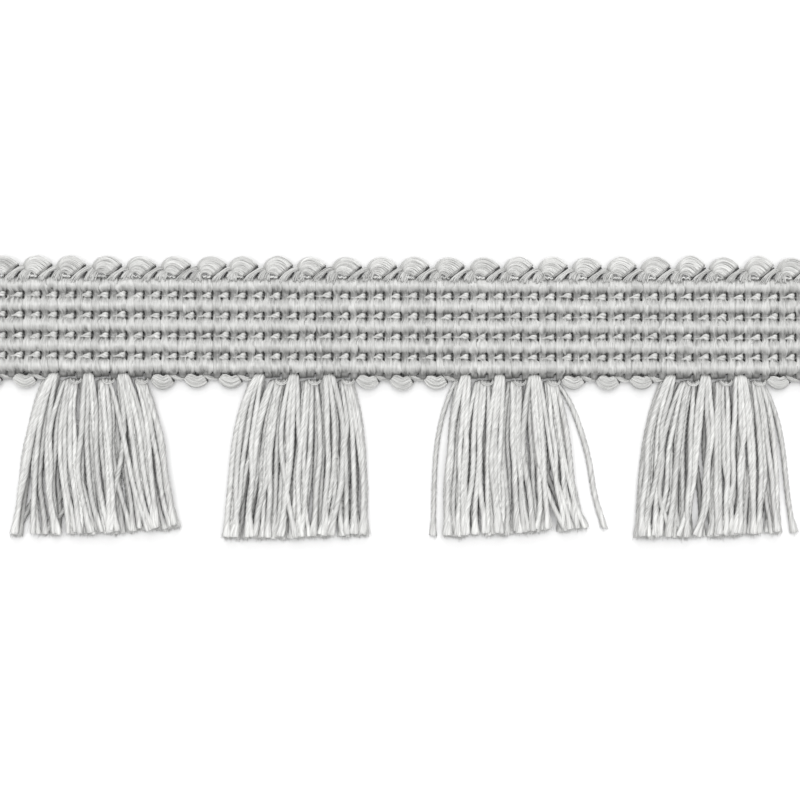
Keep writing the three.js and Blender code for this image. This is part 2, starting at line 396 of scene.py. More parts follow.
# %% Many yarns in one mesh
class Yarns:
    """Collects swept yarns into the arrays of one mesh."""

    def __init__(self):
        self.points, self.fibre, self.strand, self.tip, self.deep, self.faces = [], [], [], [], [], []
        self.count = 0

    def add(self, rings, fibre, strand, tip=0.0, deep=0.0):
        """tip and deep are numbers, or (yarns, points) or (yarns, points, sides) arrays."""
        yarns, steps, sides = rings.shape[:3]
        self.points.append(rings.reshape(-1, 3))
        self.fibre.append(fibre.reshape(-1, 3))
        self.strand.append(np.repeat(strand, steps * sides))
        for kept, value in ((self.tip, tip), (self.deep, deep)):
            value = np.asarray(value, float)
            value = value if value.ndim != 2 else value[..., None]
            kept.append(np.broadcast_to(value, rings.shape[:3]).ravel())
        index = np.arange(yarns * steps * sides).reshape(yarns, steps, sides) + self.count
        here, there = index[:, :-1], index[:, 1:]
        quads = np.stack([here, np.roll(here, -1, 2), np.roll(there, -1, 2), there], axis=-1)
        self.faces += [quads.reshape(-1, 4), index[:, 0, ::-1], index[:, -1]]
        self.count += yarns * steps * sides

    def piece(self, name, finish, node):
        """Makes the object, which takes the place of a node of the plain model."""
        points = np.concatenate(self.points)
        points[:, 1] += bow(points[:, 0]) + shift_y
        mesh = bpy.data.meshes.new(name)
        mesh.vertices.add(len(points))
        mesh.vertices.foreach_set("co", (points * MM).ravel())
        sizes = np.concatenate([np.full(len(f), f.shape[1]) for f in self.faces])
        mesh.loops.add(int(sizes.sum()))
        mesh.loops.foreach_set("vertex_index", np.concatenate([f.ravel() for f in self.faces]))
        mesh.polygons.add(len(sizes))
        mesh.polygons.foreach_set("loop_start", np.cumsum(sizes) - sizes)
        mesh.polygons.foreach_set("use_smooth", np.ones(len(sizes), bool))
        mesh.update(calc_edges=True)
        # Of these, "deep" is painted shade, which the finishes darken the colour by
        for label, kind, key, values in (
            ("fibre", "FLOAT_VECTOR", "vector", self.fibre),
            ("strand", "FLOAT", "value", self.strand),
            ("tip", "FLOAT", "value", self.tip),
            ("deep", "FLOAT", "value", self.deep),
        ):
            layer = mesh.attributes.new(label, kind, "POINT")
            layer.data.foreach_set(key, np.concatenate(values).ravel())
        mesh.validate()
        mesh.materials.append(finish)
        made = bpy.data.objects.new(name, mesh)
        bpy.context.collection.objects.link(made)
        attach(made, body)
        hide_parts(node)
        triangles = int((sizes - 2).sum())
        print(f"{name}: {triangles} triangles")
        return made


print("each point carries: fibre, strand, tip, deep")

# %% [markdown]
# The ground cloth is the thin back of the heading, which the ribs are woven onto. It shows in the slots
# between the yarns of the face, painted dark as painted shade, and as the whole of the back, where the
# picks lie side by side as flat ridges. It is the one sheet of the fringe, so it is a closed strip with
# its ridges on the back.

# %% Ground cloth
PICK = CELL / 2
GROUND_TOP = 0.62
GROUND_RIDGE = 0.09
GROUND_STEPS = 4  # points for each pick
GROUND_ROWS = 19
GROUND_INSET = 0.12  # how far the cloth ends inside the heading's two edges
GROUND_EDGE = {"width": 0.3, "share": 0.35}  # its edges round off over this width, to this share
GROUND_STREAKS = 3


def ground_cloth():
    columns = np.linspace(-LENGTH / 2, LENGTH / 2, 2 * CELLS * GROUND_STEPS + 1)
    rows = np.linspace(low_edge + GROUND_INSET, high_edge - GROUND_INSET, GROUND_ROWS)
    x, y = np.meshgrid(columns, rows, indexing="ij")
    in_pick = ((x + LENGTH / 2 - SLOT_SHARE * CELL) / PICK) % 1
    in_rib = ((y - LOWEST_RIB_Y) / RIB_PITCH) % 1
    pinch = np.exp(-(((in_rib - 0.5) / 0.12) ** 2))
    ridge = np.abs(np.sin(np.pi * in_pick)) ** 0.6 * (1 - 0.75 * pinch)
    under = GROUND_RIDGE * (1 - ridge)
    edge = np.clip(np.minimum(y - rows[0], rows[-1] - y) / GROUND_EDGE["width"], 0, 1)
    over = GROUND_TOP * (GROUND_EDGE["share"] + (1 - GROUND_EDGE["share"]) * np.sqrt(edge))
    top = np.stack([x, y, over], axis=-1)
    bottom = np.stack([x, y, under], axis=-1)
    rings = np.concatenate([top, bottom[:, ::-1]], axis=1)[None]
    across, along = rings[..., 0] * GROUND_STREAKS, rings[..., 1] * STRETCH
    fibre = np.stack([across, np.zeros_like(across), along], axis=-1)
    cloth = Yarns()
    cloth.add(rings, fibre, np.array([0.5]))
    return cloth.piece("heading_ground", ground_shade_finish, "heading")


ground = ground_cloth()

# %% [markdown]
# Each rib has a filler cord inside it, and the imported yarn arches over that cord. The cords only show
# where the heading is cut, so a plain swept cord is enough.

# %% Filler cords
FILLER = {"across": 0.72, "depth": 0.62, "z": 1.22, "inset": 0.05, "steps": 40, "sides": 14}


def filler_cords():
    end_x = LENGTH / 2 - FILLER["inset"]
    lines = np.zeros((RIBS, FILLER["steps"], 3))
    lines[..., 0] = np.linspace(-end_x, end_x, FILLER["steps"])
    lines[..., 1] = rib_y(np.arange(RIBS))[:, None]
    lines[..., 2] = FILLER["z"]
    strand = (np.arange(RIBS) + 0.5) / RIBS
    cords = Yarns()
    rings = sweep(lines, FILLER["across"], FILLER["depth"], FILLER["sides"])
    cords.add(rings, fibre_round(lines, FILLER["sides"], strand, 1.2), strand)
    return cords.piece("heading_fillers", ground_shade_finish, "heading")


fillers = filler_cords()

# %% [markdown]
# The face of the heading is made of picks: flat bundles of satin yarn that run across the heading, over
# the ribs. They come in pairs. One of each pair dips deep between the ribs, where a binder thread holds
# it down, and the other passes over the binder as a shallow bridge. Where the two part there is a small
# dark slot. A pick is swept as a flat ring whose upper points each keep a height of their own, which
# gives the fine ridges of the fibre bundles as real relief.

# %% Sizes of the picks
CREST_Z = 2.2
# For each kind of pick. dip: its height between the ribs. rib and waist: half its width on a rib and in
# a dip. beyond: how far it goes on below the plain edge of the heading, in the even cells, in the odd
# ones above a bell, and in the odd ones above a loop, where one looks into the loop instead.
PICK_KINDS = {
    "held": {"side": -1, "dip": 1.18, "rib": 0.8, "waist": 0.5, "beyond": (0.35, 0.3, 0.1)},
    "bridge": {"side": 1, "dip": 1.38, "rib": 0.62, "waist": 0.5, "beyond": (0.75, 0.45, 0.0)},
}
PICK_APART = 0.065  # the two picks of a pair move apart this much in a dip
PICK_THICK = 0.3
PICK_TOPS = 9  # points over the width of a pick
PICK_ROWS = 58
PICK_INSET = 0.18  # the picks turn down this far inside the upper edge
LOW_Z = 1.25  # they stay this high below the lowest rib
BELL_ROOT = {"half": 6.9, "shift": -0.3}  # where the heading's picks count as above a bell
print(f"{2 * CELLS + 1} picks, {CELLS} slots along each dip")

# %% [markdown]
# Two curves along y give every pick its form. One is the height of the ribs: full round backs, a little
# steeper on the lower side. The other says where the picks of a pair part to make the slot.

# %% Ribs and partings
# reach: how far the flank comes down from the rib's middle line, in mm. late: how late it falls.
UPPER_FLANK = {"reach": 1.2, "late": 1.9}
LOWER_FLANK = {"reach": 1.02, "late": 2.5}
FLANK_ROUND = 0.65
PARTING = {"below": 0.1, "half": 0.68, "soft": 0.16}  # its middle lies this far below the dip's


def flank(drop, shape):
    return np.clip(1 - np.clip(drop / shape["reach"], 0, 1) ** shape["late"], 0, 1) ** FLANK_ROUND


def rib_rise(y):
    """0 in the dips between the ribs and 1 on their crests."""
    rib = np.clip(np.round((y - LOWEST_RIB_Y) / RIB_PITCH), 0, RIBS - 1)
    above = y - rib_y(rib)
    return np.minimum(flank(above, UPPER_FLANK), flank(-above, LOWER_FLANK))


def parting(y):
    """1 in the dips, where the two picks of a pair lie apart, and 0 on the ribs."""
    from_dip = np.abs((y + PARTING["below"] - LOWEST_RIB_Y) / RIB_PITCH % 1 - 0.5) * RIB_PITCH
    return np.clip((PARTING["half"] - from_dip) / PARTING["soft"], 0, 1)


middle_line = np.linspace(low_edge, high_edge, 400)
print(f"{(rib_rise(middle_line) > 0.5).mean():.0%} of the heading is rib, the rest is dip")

# %% [markdown]
# Each pick starts at its slot and leans, swells and rises a little in its own way. Its fibre bundles turn
# over the flank of a rib at uneven places, which gives the rib its combed edge. The underside needs only
# three points for each row, because the cloth hides it.

# %% One pick
# bundle, wave: how unevenly its bundles turn over. lean, bend, width, height: of the whole pick. ridge,
# grain: of the points over its width. All in mm, but the width as a share.
UNEVEN = {
    "bundle": 0.13, "wave": 0.07, "lean": 0.05, "bend": 0.06, "width": 0.03, "height": 0.025,
    "ridge": 0.035, "grain": 0.012,
}
BUNDLES = 4
ARCH = {"rib": 0.04, "dip": 0.16}  # how far its sides fall, on a rib, and that much more in a dip
PICK_END = {"length": 0.3, "share": 0.5}  # its ends come down over this length, to this share
PICK_FLOOR = 0.3


def one_pick(number, draw):
    kind = PICK_KINDS["held" if number % 2 == 0 else "bridge"]
    slot_x = -LENGTH / 2 + CELL * (number // 2 + SLOT_SHARE)
    from_bell = min(abs(slot_x - BELL_ROOT["shift"] - bell_centre(loop)) for loop in BELL_AT)
    beyond = kind["beyond"][0 if number // 2 % 2 == 0 else 1 if from_bell < BELL_ROOT["half"] else 2]
    y = np.linspace(low_edge - beyond, high_edge - PICK_INSET, PICK_ROWS)
    bundles = draw.normal(size=(RIBS, BUNDLES))[:, np.arange(PICK_TOPS) * BUNDLES // PICK_TOPS]
    rib = np.clip(np.round((y - LOWEST_RIB_Y) / RIB_PITCH).astype(int), 0, RIBS - 1)
    shift = UNEVEN["bundle"] * bundles[rib]
    shift = shift + UNEVEN["wave"] * np.sin(5 * y[:, None] + draw.uniform(0, 6, PICK_TOPS))
    rise = rib_rise(y[:, None] + shift)
    apart = parting(y)
    lean = UNEVEN["lean"] * draw.normal() + UNEVEN["bend"] * np.sin(0.35 * y + 2 * draw.random())
    middle = slot_x + kind["side"] * (PICK / 2 + PICK_APART * apart) + lean * (1 - apart)
    half = kind["rib"] + (kind["waist"] - kind["rib"]) * apart
    swell = UNEVEN["width"] * draw.normal() + UNEVEN["width"] * np.sin(1.3 * y + 6 * draw.random())
    half = half * (1 + swell * (1 - apart))
    top_z = kind["dip"] + (CREST_Z - kind["dip"]) * rise + UNEVEN["height"] * draw.normal()
    top_z = np.maximum(top_z, np.where(y < rib_y(0), LOW_Z, 0)[:, None])
    from_edge = np.minimum(y - low_edge + beyond, high_edge - PICK_INSET + 0.02 - y)
    ending = np.clip(from_edge / PICK_END["length"], 0, 1) ** 0.5
    top_z = top_z * (PICK_END["share"] + (1 - PICK_END["share"]) * ending)[:, None]
    spots = np.linspace(-1, 1, PICK_TOPS)
    ridge = UNEVEN["ridge"] * draw.normal(size=PICK_TOPS)
    ridge = ridge + UNEVEN["grain"] * draw.normal(size=(PICK_ROWS, PICK_TOPS))
    arch = (ARCH["rib"] + ARCH["dip"] * apart[:, None]) * np.abs(spots) ** 3
    x = np.clip(middle[:, None] + half[:, None] * spots, -LENGTH / 2, LENGTH / 2)
    z = top_z - arch - np.abs(ridge)
    upper = np.stack([x, np.broadcast_to(y[:, None], x.shape), z], axis=-1)
    lower = upper[:, [-1, PICK_TOPS // 2, 0]].copy()
    lower[:, :, 2] = np.maximum(lower[:, :, 2] - PICK_THICK, PICK_FLOOR)
    return np.concatenate([upper, lower], axis=1)


trial_pick = one_pick(CELLS, np.random.default_rng(0))
print(f"a pick is {np.ptp(trial_pick[..., 1]):.1f} mm long and {np.ptp(trial_pick[..., 0]):.1f} mm wide")

# %% [markdown]
# The low parts of the picks get painted shade, most of all just above a rib's crest. That painted shade
# is uneven from bundle to bundle, so it is given for each point and not left to the lamps alone.

# %% All the picks
# Painted shade for the picks: these darken their colour by height, above a crest, unevenly and below the
# edge
PAINTED_SHADE_FROM, PAINTED_SHADE_OVER = CREST_Z - 0.07, 0.8  # shade starts at this height and is full that much lower
SHADE_ABOVE_CREST = {"weight": 0.2, "over": 0.2}  # more shade above a crest and a little less below it
PAINTED_SHADE_UNEVEN = 0.45  # how uneven the shade is
SHADE_BELOW_EDGE = 0.3  # more shade on what goes on below the heading's edge


def picks():
    draw = np.random.default_rng(11)
    rings = np.stack([one_pick(number, draw) for number in range(2 * CELLS + 1)])
    strand = draw.random(len(rings))
    sideways = (rings[..., 0] - rings[:, :, :1, 0]) * 5 + 97 * strand[:, None, None]
    fibre = np.stack([sideways, np.zeros_like(sideways), rings[..., 1] * STRETCH * 1.5], axis=-1)
    # Painted shade: "deep" darkens low points, the flank above each crest, unevenly by bundle, and below
    # the edge
    deep = np.clip((PAINTED_SHADE_FROM - rings[..., 2]) / PAINTED_SHADE_OVER, 0, 1)
    past_crest = (rings[..., 1] - LOWEST_RIB_Y + RIB_PITCH / 2) / RIB_PITCH % 1 - 0.5
    deep = deep + SHADE_ABOVE_CREST["weight"] * np.clip(past_crest / SHADE_ABOVE_CREST["over"], -0.4, 1) * (1 - deep)
    shade_noise = draw.normal(size=(len(rings), 1, rings.shape[2]))
    shade_noise = shade_noise + 0.7 * np.sin(4 * rings[..., 1] + draw.uniform(0, 6, shade_noise.shape))
    deep = np.clip(deep + PAINTED_SHADE_UNEVEN * shade_noise * deep * (1 - deep) * 4, 0, 1)
    deep = deep + SHADE_BELOW_EDGE * (rings[..., 1] < low_edge)
    face = Yarns()
    face.add(rings[:, :, ::-1], fibre[:, :, ::-1], strand, deep=deep[:, :, ::-1])
    return face.piece("heading_picks", heading_finish, "heading")


pick_piece = picks()

# %% [markdown]
# A binder thread runs along each dip. It crosses the bridge as a thin line, bulges over the held pick as
# a bright bead, and drops straight into the slot. It is three plies, which open out over the bead and
# lie a little differently in each one.

# %% Binder threads
# dx: along the cell, from the slot. dy: across the dip. z: height of the thread's middle. half: half its
# width there.
BINDER_COURSE = [
    (-2.2, -0.2, 0.7, 0.1),
    (-2.0, -0.25, 1.25, 0.05),
    (-1.75, -0.27, 1.38, 0.04),
    (-1.5, -0.26, 1.45, 0.05),
    (-1.28, -0.22, 1.53, 0.07),
    (-1.08, -0.16, 1.6, 0.14),
    (-0.9, -0.13, 1.64, 0.24),
    (-0.72, -0.1, 1.67, 0.33),
    (-0.52, -0.07, 1.68, 0.4),
    (-0.36, -0.06, 1.64, 0.42),
    (-0.29, -0.06, 1.3, 0.38),
    (-0.27, -0.06, 0.7, 0.2),
]
# wander: how far a bead lies from its place across the dip and in height. out and up: how far the plies
# lie from the thread's middle, for its size. thin and swell: half a ply's width, and how it grows.
BINDER = {
    "plies": 3, "sides": 5, "wander": (0.06, 0.04), "out": 0.55, "up": 0.25, "sink": 0.1,
    "thin": 0.09, "swell": 0.44, "flat": 0.85, "inset": 0.1,
}
BINDER_SHADE = {"from": 1.35, "over": 0.7}  # the height where its shade starts, and over how much


def binders():
    draw = np.random.default_rng(5)
    course = np.array(BINDER_COURSE)
    slots = -LENGTH / 2 + CELL * (np.arange(CELLS) + SLOT_SHARE)
    across_wander, height_wander = BINDER["wander"]
    threads = Yarns()
    for dip in range(RIBS - 1):
        x = (slots[:, None] + course[:, 0]).ravel()
        inside = np.abs(x) < LENGTH / 2 - BINDER["inset"]
        middle_y = rib_y(dip) + RIB_PITCH / 2 + across_wander * draw.normal(size=(CELLS, 1)) + course[:, 1]
        middle_z = height_wander * draw.normal(size=(CELLS, 1)) + course[:, 2]
        size = course[:, 3] * draw.uniform(0.8, 1.16, (CELLS, 1))
        phase = draw.uniform(0, 2 * np.pi, (CELLS, 1)) + draw.uniform(1.2, 4.5, (CELLS, 1)) * course[:, 0]
        for ply in range(BINDER["plies"]):
            wound = phase + 2 * np.pi * ply / BINDER["plies"] + 0.3 * draw.normal(size=(CELLS, 1))
            y = (middle_y + BINDER["out"] * size * np.cos(wound)).ravel()
            z = (middle_z + BINDER["up"] * size * np.sin(wound) - BINDER["sink"] * size).ravel()
            line = np.stack([x, y, z], axis=-1)[inside][None]
            half = BINDER["thin"] + BINDER["swell"] * size * draw.uniform(0.8, 1.2, (CELLS, 1))
            half = half.ravel()[inside][None]
            rings = sweep(line, half, BINDER["flat"] * half, BINDER["sides"])
            strand = draw.random(1)
            # Painted shade: the low parts of the binder threads are darkened
            deep = np.clip((BINDER_SHADE["from"] - rings[..., 2]) / BINDER_SHADE["over"], 0, 1)
            threads.add(rings, fibre_round(line, BINDER["sides"], strand, 0.7), strand, 1.0, deep)
    return threads.piece("heading_binders", heading_finish, "heading")


binder_piece = binders()

# %% [markdown]
# The looped edges are soft floss, a band of fine strands. A big lobe fans out of the weave at the left,
# arches over and tucks in along a slanted line on the right. A short band, the tuck, rises from there and
# slips in behind the next lobe. The lower edge is much the same, mirrored, flatter and drooping. A band
# could be one bent sheet with painted strands, but its edge would look like paper. Here its first and
# last strand are drawn as rows of points, and the others lie about evenly between them.

# %% The shapes of the loops
# A row of points for each outer strand: (dx from the loop's middle, up from the edge of the heading).
# rise: the height of the band's middle at those points. hump: how far the middle strands stand above it.
# stagger, uneven: the share of the length by which the strands start and end unevenly. droop: how far
# the outer strand hangs. folds: how far the strands differ in height. loose: how much they wander.
TOP_LOBE = {
    "inner": [
        (-1.3, -0.05), (-1.2, 0.15), (-1.05, 0.27), (-0.85, 0.32),
        (-0.62, 0.28), (-0.43, 0.18), (-0.28, 0.05), (-0.15, -0.08), (-0.05, -0.2),
    ],
    "outer": [
        (-1.62, 1.0), (-1.48, 1.62), (-1.02, 2.22), (-0.25, 2.6),
        (0.55, 2.55), (1.2, 2.25), (1.65, 1.92), (1.98, 1.65), (2.12, 1.45),
    ],
    "rise": [1.0, 1.5, 1.7, 1.75, 1.75, 1.75, 1.75, 1.7, 1.1],
    "hump": 0.5,
    "strands": 24,
    "points": 16,
    "stagger": 0.02,
    "uneven": 0.06,
}
TOP_TUCK = {
    "inner": [(0.05, -1.05), (0.2, -0.55), (0.72, 0.08), (1.5, 0.65), (2.25, 1.08), (3.1, 1.25)],
    "outer": [(1.2, -1.05), (1.3, -0.6), (1.5, -0.15), (1.95, 0.35), (2.6, 0.72), (3.5, 0.8)],
    "rise": [1.92, 2.08, 2.0, 1.75, 1.45, 1.0],
    "hump": 0.2,
    "strands": 14,
    "points": 11,
    "stagger": 0.35,
    "loose": 3,
}
LOW_LOBE = {
    "inner": [
        (-1.5, 0.1), (-1.05, 0.0), (-0.62, 0.1), (-0.25, 0.27), (0.08, 0.16), (0.35, 0.06), (0.66, 0.38),
    ],
    "outer": [
        (-2.0, 0.7), (-1.68, 1.28), (-1.05, 1.78), (-0.26, 1.95), (0.48, 1.7), (0.95, 1.33), (1.16, 1.04),
    ],
    "rise": [1.4, 1.42, 1.4, 1.34, 1.28, 1.2, 1.05],
    "hump": 0.32,
    "strands": 22,
    "points": 14,
    "stagger": 0.02,
    "droop": 0.3,
    "folds": 0.22,
}
LOW_TUCK = {
    "inner": [(0.5, -0.2), (1.1, -0.05), (1.6, 0.25), (2.15, 0.38), (2.75, 0.1)],
    "outer": [(0.75, 0.35), (1.15, 0.62), (1.65, 0.78), (2.2, 0.78), (2.75, 0.68)],
    "rise": [0.85, 1.0, 1.12, 1.05, 0.9],
    "hump": 0.2,
    "strands": 6,
    "points": 7,
    "stagger": 0.0,
}
# More of the rib's yarn rises beside the tuck and goes under the foot of the next lobe
TOP_FOOT = {
    "inner": [(1.95, -1.0), (2.05, -0.5), (2.3, 0.1), (2.7, 0.6), (3.3, 1.0)],
    "outer": [(3.6, -1.0), (3.6, -0.55), (3.65, -0.1), (3.75, 0.25), (4.0, 0.5)],
    "rise": [1.92, 2.08, 1.9, 1.6, 1.1],
    "hump": 0.2,
    "strands": 11,
    "points": 9,
    "stagger": 0.4,
    "loose": 3,
}
bands = (TOP_LOBE, TOP_TUCK, TOP_FOOT)
print("strands of one top loop:", sum(band["strands"] for band in bands))

# %% [markdown]
# Between the few points of an outer strand runs a smooth curve through all of them. The strands between
# the two follow a mix of both, and the middle ones stand higher, as in a full band of yarn. Neighbours
# hang together by threes in tone and height, so that the band has folds and isn't a comb of equal lines.

# %% Strands of a band
SHARE_JITTER = 0.007  # how unevenly the strands lie in the band
SWELL = 0.05  # how much the lobes differ in size
SWING = 0.03
BAND_WOBBLE = 0.025
IN_GROUP = 3  # strands that hang together
GROUP_WEIGHT = 0.7  # how much of a strand's own number comes from its group
BAND_THICK = {"share": 0.75, "least": 0.06, "most": 0.17, "flat": 1.1, "sides": 5}
# Painted shade on the low strands of a band, standing in for shadow
BAND_SHADE = {"share": 0.62, "over": 0.8}  # shade starts at this share of the band's greatest height


def smooth_through(stations, at):
    """A smooth line through the stations, (stations, values), read at the shares of its length in at."""
    last = len(stations) - 1
    at = np.asarray(at) * last
    index = np.clip(at.astype(int), 0, last - 1)
    share = (at - index)[..., None]
    before, after = np.clip(index - 1, 0, None), np.clip(index + 2, None, last)
    p0, p1, p2, p3 = stations[before], stations[index], stations[index + 1], stations[after]
    bend = share * (p2 - p0) + share**2 * (2 * p0 - 5 * p1 + 4 * p2 - p3)
    bend += share**3 * (3 * p1 - p0 - 3 * p2 + p3)
    return p1 + 0.5 * bend


def band_strands(shape, middle_x, edge_y, outward, draw):
    """The strands of one band, and how wide the band is at each of their points."""
    shares = (np.arange(shape["strands"]) + 0.5) / shape["strands"]
    shares = np.clip(shares + SHARE_JITTER * draw.normal(size=len(shares)), 0.02, 0.98)[:, None]
    start = shape["stagger"] * draw.random((len(shares), 1))
    end = 1 - shape.get("uneven", 0) * draw.random((len(shares), 1))
    at = start + (end - start) * np.linspace(0, 1, shape["points"])
    inner = smooth_through(np.array(shape["inner"]), at)
    outer = smooth_through(np.array(shape["outer"]), at)
    rise = smooth_through(np.array(shape["rise"])[:, None], at)[..., 0]
    swell = 1 + SWELL * draw.normal()
    flat = inner + (outer - inner) * shares[..., None]
    hump = shape["hump"] * np.sqrt(np.clip(1 - (2 * shares - 1) ** 2, 0, 1))
    loose = shape.get("loose", 1)
    swing = SWING * loose * np.sin(5 * at + draw.uniform(0, 6, (len(shares), 1)))
    z = rise + hump - shape["hump"] / 2 + BAND_WOBBLE * loose * draw.normal(size=(len(shares), 1))
    z = z - shape.get("droop", 0) * shares**3
    x = middle_x + flat[..., 0] + swing
    y = edge_y + outward * (flat[..., 1] * swell + swing)
    width = np.linalg.norm(outer - inner, axis=-1)
    return np.stack([x, y, z], axis=-1), width


trial_strands, trial_width = band_strands(TOP_LOBE, 0, 0, 1, np.random.default_rng(0))
print(f"a top lobe is up to {trial_width.max():.1f} mm wide and {trial_strands[..., 2].max():.1f} mm high")

# %% [markdown]
# The strands of a real band hide what is under them. These are too few for that, so a plain bundle of
# the same floss, darkened a little by painted shade, fills the band from inside.

# %% A whole band
FILLING = {"from": 0.1, "to": 0.94, "steps": 12, "sides": 10, "half": 0.44, "sink": 0.25, "shade": 0.25}
FILLING_DEPTH = {"least": 0.12, "hump": 0.5}


def add_filling(yarns, shape, middle_x, edge_y, outward):
    """A plain bundle inside the band, so that nothing shows between its strands."""
    at = np.linspace(FILLING["from"], FILLING["to"], FILLING["steps"])
    inner = smooth_through(np.array(shape["inner"]), at)
    outer = smooth_through(np.array(shape["outer"]), at)
    rise = smooth_through(np.array(shape["rise"])[:, None], at)[:, 0]
    middle = (inner + outer) / 2
    half = FILLING["half"] * np.linalg.norm(outer - inner, axis=1)
    x, y = middle_x + middle[:, 0], edge_y + outward * middle[:, 1]
    line = np.stack([x, y, rise - FILLING["sink"]], axis=-1)[None]
    depth = FILLING_DEPTH["least"] + FILLING_DEPTH["hump"] * shape["hump"]
    rings = sweep(line, half, depth, FILLING["sides"])
    rings[..., 2] = np.maximum(rings[..., 2], 0.02)
    strand = np.array([0.5])
    # Painted shade: the filling is darkened a little
    yarns.add(rings, fibre_round(line, FILLING["sides"], strand, 2.0), strand, deep=FILLING["shade"])


def add_band(yarns, shape, middle_x, edge_y, outward, draw, shade=0.0):
    lines, width = band_strands(shape, middle_x, edge_y, outward, draw)
    radius = BAND_THICK["share"] * width / shape["strands"]
    radius = np.clip(radius, BAND_THICK["least"], BAND_THICK["most"])
    lines[..., 2] = np.maximum(lines[..., 2], radius + 0.02)
    group = draw.random(len(lines))[np.arange(len(lines)) // IN_GROUP]
    strand = GROUP_WEIGHT * group + (1 - GROUP_WEIGHT) * draw.random(len(lines))
    lines[..., 2] += shape.get("folds", 0.06) * (strand[:, None] - 0.5)
    rings = sweep(lines, radius, BAND_THICK["flat"] * radius, BAND_THICK["sides"])
    # Painted shade: low strands, and whole tucks and feet by their shade value, are darkened
    low = (BAND_SHADE["share"] * max(shape["rise"]) - lines[..., 2]) / BAND_SHADE["over"]
    deep = np.clip(shade + np.clip(low, 0, 1), 0, 1)
    yarns.add(rings, fibre_round(lines, BAND_THICK["sides"], strand, 0.6), strand, deep=deep)
    add_filling(yarns, shape, middle_x, edge_y, outward)


trial_band = Yarns()
add_band(trial_band, TOP_LOBE, 0, 0, 1, np.random.default_rng(0))
print("a top lobe takes", trial_band.count, "points")

# %% [markdown]
# Two small things finish a loop. Where floss goes round a turn, one looks in between its strands into
# shade. A short thread with painted shade lies in each such place as a painted shadow, which is simpler
# and surer than a real hollow.
# And fine stitches cross the foot of every upper lobe and hold it to the heading.

# %% Painted shadows in eyes and gaps, and stitches
# from, to: the ends of the painted shadow, as (dx from the loop's middle, up from the heading's edge)
TOP_EYE = {"from": (1.75, -0.2), "to": (2.25, 0.5), "z": 1.4, "radius": 0.12}
TOP_GAP = {"from": (0.35, -0.12), "to": (2.1, 1.25), "z": 1.4, "radius": 0.12}
LOW_EYE = {"from": (-0.55, 0.06), "to": (-0.05, 0.1), "z": 0.9, "radius": 0.16}
LOW_GAP = {"from": (0.72, 0.4), "to": (1.2, 0.96), "z": 1.02, "radius": 0.12}
EYE_POINTS = EYE_SIDES = 8
EYE_SHADE = 1.25
STITCH = {
    "from": -1.15, "to": 0.12, "up": -0.12, "z": 2.0, "radius": 0.085, "points": 15, "plies": 2,
    "slant": 0.1, "out": 0.1, "over": 0.12, "dive": 0.6, "sides": 5, "tip": 0.5,
}
STITCH_TURN = 9 * np.pi / 2


def add_eye_shadow(yarns, eye, middle_x, edge_y, outward):
    share = np.linspace(0, 1, EYE_POINTS)[:, None]
    flat = np.array(eye["from"]) * (1 - share) + np.array(eye["to"]) * share
    x, y = middle_x + flat[:, 0], edge_y + outward * flat[:, 1]
    line = np.stack([x, y, np.full(EYE_POINTS, eye["z"])], axis=-1)[None]
    rings = sweep(line, eye["radius"], eye["radius"], EYE_SIDES)
    strand = np.array([0.2])
    # Painted shadow: a dark thread, darkened further by painted shade
    yarns.add(rings, fibre_round(line, EYE_SIDES, strand, 0.6), strand, deep=EYE_SHADE)


def add_stitches(yarns, middle_x, edge_y, draw):
    share = np.linspace(0, 1, STITCH["points"])
    x = middle_x + STITCH["from"] + (STITCH["to"] - STITCH["from"]) * share
    lines = []
    for ply in range(STITCH["plies"]):
        phase = STITCH_TURN * share + np.pi * ply + draw.uniform(0, 6)
        y = edge_y + STITCH["up"] + STITCH["out"] * np.sin(phase) - STITCH["slant"] * share
        z = STITCH["z"] + STITCH["over"] * np.cos(phase) - STITCH["dive"] * (2 * share - 1) ** 6
        lines.append(np.stack([x, y, z], axis=-1))
    lines = np.array(lines)
    strand = draw.random(STITCH["plies"])
    rings = sweep(lines, STITCH["radius"], STITCH["radius"], STITCH["sides"])
    yarns.add(rings, fibre_round(lines, STITCH["sides"], strand, 0.4), strand, STITCH["tip"])


print(f"a stitch is {STITCH['to'] - STITCH['from']:.2f} mm long")

# %% [markdown]
# Now the loops are set in their rows, 25 along the top and those of the lower edge that no bell covers.
# Each lies a little off its place, because hand and loom are never exact. A tuck is laid before the lobe
# that covers it. Where the square cut takes the first upper loop away, its tuck is still there.

# %% Looped edges
TOP_SHIFT = 0.12  # the upper lobes lie this far to the right of the plain model's
ASIDE = {1: 0.12, -1: 0.05}  # how far a loop lies off its place, on the upper edge and on the lower
# Painted shade on the tucks and feet, which lie between the lobes
TUCK_SHADE, FOOT_SHADE = 0.15, 0.25


